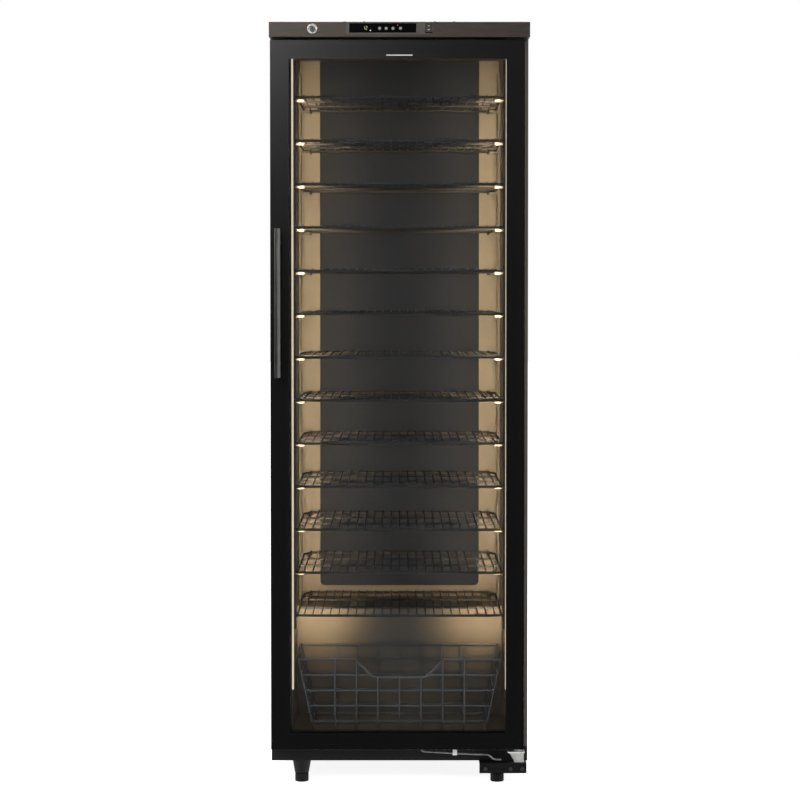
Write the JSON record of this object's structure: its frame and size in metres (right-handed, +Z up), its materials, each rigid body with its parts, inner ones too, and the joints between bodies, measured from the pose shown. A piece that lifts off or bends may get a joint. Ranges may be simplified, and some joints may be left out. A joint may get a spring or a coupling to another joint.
{
  "type": "wine cooler",
  "caption": "Tall free-standing wine cooler with a hinged black-framed glass door, wire shelves, a wire basket and a control header.",
  "frame": {"origin": "centre of the cooler's box on the floor", "axes": "+Z up, +X towards the door's hinges, the door faces -Y"},
  "size_m": [0.597, 0.638, 1.76],
  "materials": {
    "shell_paint": "satin",
    "kick_paint": "satin",
    "liner_plastic": "satin",
    "foam": "matte",
    "black_plastic": "matte",
    "screw_black": "satin",
    "header_metal": "satin",
    "bezel_plastic": "satin",
    "display_gloss": "gloss",
    "circuit_board": "satin",
    "rocker_gloss": "gloss",
    "bright_metal": "polished",
    "lock_dark": "satin",
    "bracket_black": "satin",
    "zinc": "satin",
    "nylon": "matte",
    "door_glass": "gloss",
    "inner_glass": "gloss",
    "spacer_black": "satin",
    "gasket_rubber": "matte",
    "frame_black": "satin",
    "handle_metal": "satin",
    "spring_steel": "satin",
    "pilaster_brown": "satin",
    "light_diffuser": "satin",
    "wire_black": "satin",
    "cold_plate": "satin",
    "fan_plastic": "satin",
    "compressor_black": "gloss",
    "tray_plastic": "satin",
    "condenser_black": "satin",
    "foot_rubber": "matte",
    "roller_plastic": "satin",
    "key_plastic": "satin"
  },
  "bodies": {
    "cabinet": {"outer_shell": "shell_paint", "back_panel": "shell_paint", "base_pan": "kick_paint", "inner_liner": "liner_plastic", "foam_core": "foam", "machine_lining": "shell_paint", "wall_spacers": "black_plastic", "cabinet_screws": "screw_black", "header_fascia": "header_metal", "control_bezel": "bezel_plastic", "display_lens": "display_gloss", "control_board": "circuit_board", "lock_barrel": "bright_metal", "hinge_top": "bracket_black", "hinge_bottom": "bracket_black", "hinge_plate": "zinc", "shelf_clips": "zinc", "pilasters": "pilaster_brown", "led_bars": "light_diffuser", "basket": "wire_black", "evaporator_plate": "cold_plate", "fan_housing": "fan_plastic", "compressor": "compressor_black", "drip_tray": "tray_plastic", "condenser": "condenser_black", "condenser_wires": "condenser_black", "power_inlet": "black_plastic", "foot_sockets": "black_plastic", "shelf_01": "wire_black", "shelf_02": "wire_black", "shelf_03": "wire_black", "shelf_04": "wire_black", "shelf_05": "wire_black", "shelf_06": "wire_black", "shelf_07": "wire_black", "shelf_08": "wire_black", "shelf_09": "wire_black", "shelf_10": "wire_black", "shelf_11": "wire_black", "shelf_12": "wire_black", "shelf_13": "wire_black"},
    "door": {"outer_glass": "door_glass", "inner_glass": "inner_glass", "glass_spacer": "spacer_black", "door_frame": "frame_black", "door_gasket": "gasket_rubber", "door_handle": "handle_metal", "torsion_bar": "spring_steel", "bar_clips": "black_plastic", "hinge_bushes": "nylon"},
    "lock_plug": {"lock_plug": "lock_dark"},
    "rocker_switch": {"rocker_switch": "rocker_gloss"},
    "fan_blade": {"fan_blade": "fan_plastic"},
    "foot_left": {"foot_left": "foot_rubber"},
    "foot_right": {"foot_right": "foot_rubber"},
    "rear_rollers": {"rear_rollers": "roller_plastic"},
    "key_1": {"key_1": "key_plastic"},
    "key_2": {"key_2": "key_plastic"},
    "key_3": {"key_3": "key_plastic"},
    "key_4": {"key_4": "key_plastic"}
  },
  "joints": [
    {"name": "door_hinge", "type": "hinge", "parent": "cabinet", "child": "door", "pos_m": [0.273, -0.257, 0.9], "axis": [0, 0, 1], "range_deg": [0, 115]},
    {"name": "lock_turn", "type": "hinge", "parent": "cabinet", "child": "lock_plug", "pos_m": [-0.199, -0.269, 1.742], "axis": [0, -1, 0], "range_deg": [0, 90]},
    {"name": "rocker_tilt", "type": "hinge", "parent": "cabinet", "child": "rocker_switch", "pos_m": [0.067, -0.276, 1.743], "axis": [1, 0, 0], "range_deg": [0, 16]},
    {"name": "fan_spin", "type": "hinge", "parent": "cabinet", "child": "fan_blade", "pos_m": [0.112, 0.175, 0.15], "axis": [0, 1, 0], "continuous": true},
    {"name": "foot_left_turn", "type": "hinge", "parent": "cabinet", "child": "foot_left", "pos_m": [-0.228, -0.211, 0.02], "axis": [0, 0, 1], "continuous": true},
    {"name": "foot_right_turn", "type": "hinge", "parent": "cabinet", "child": "foot_right", "pos_m": [0.228, -0.211, 0.02], "axis": [0, 0, 1], "continuous": true},
    {"name": "rear_roll", "type": "hinge", "parent": "cabinet", "child": "rear_rollers", "pos_m": [0, 0.239, 0.02], "axis": [1, 0, 0], "continuous": true},
    {"name": "key_1_press", "type": "slide", "parent": "cabinet", "child": "key_1", "axis": [0, 1, 0], "range_m": [0, 0.0007], "stiffness_N_per_m": 300},
    {"name": "key_2_press", "type": "slide", "parent": "cabinet", "child": "key_2", "axis": [0, 1, 0], "range_m": [0, 0.0007], "stiffness_N_per_m": 300},
    {"name": "key_3_press", "type": "slide", "parent": "cabinet", "child": "key_3", "axis": [0, 1, 0], "range_m": [0, 0.0007], "stiffness_N_per_m": 300},
    {"name": "key_4_press", "type": "slide", "parent": "cabinet", "child": "key_4", "axis": [0, 1, 0], "range_m": [0, 0.0007], "stiffness_N_per_m": 300}
  ]
}
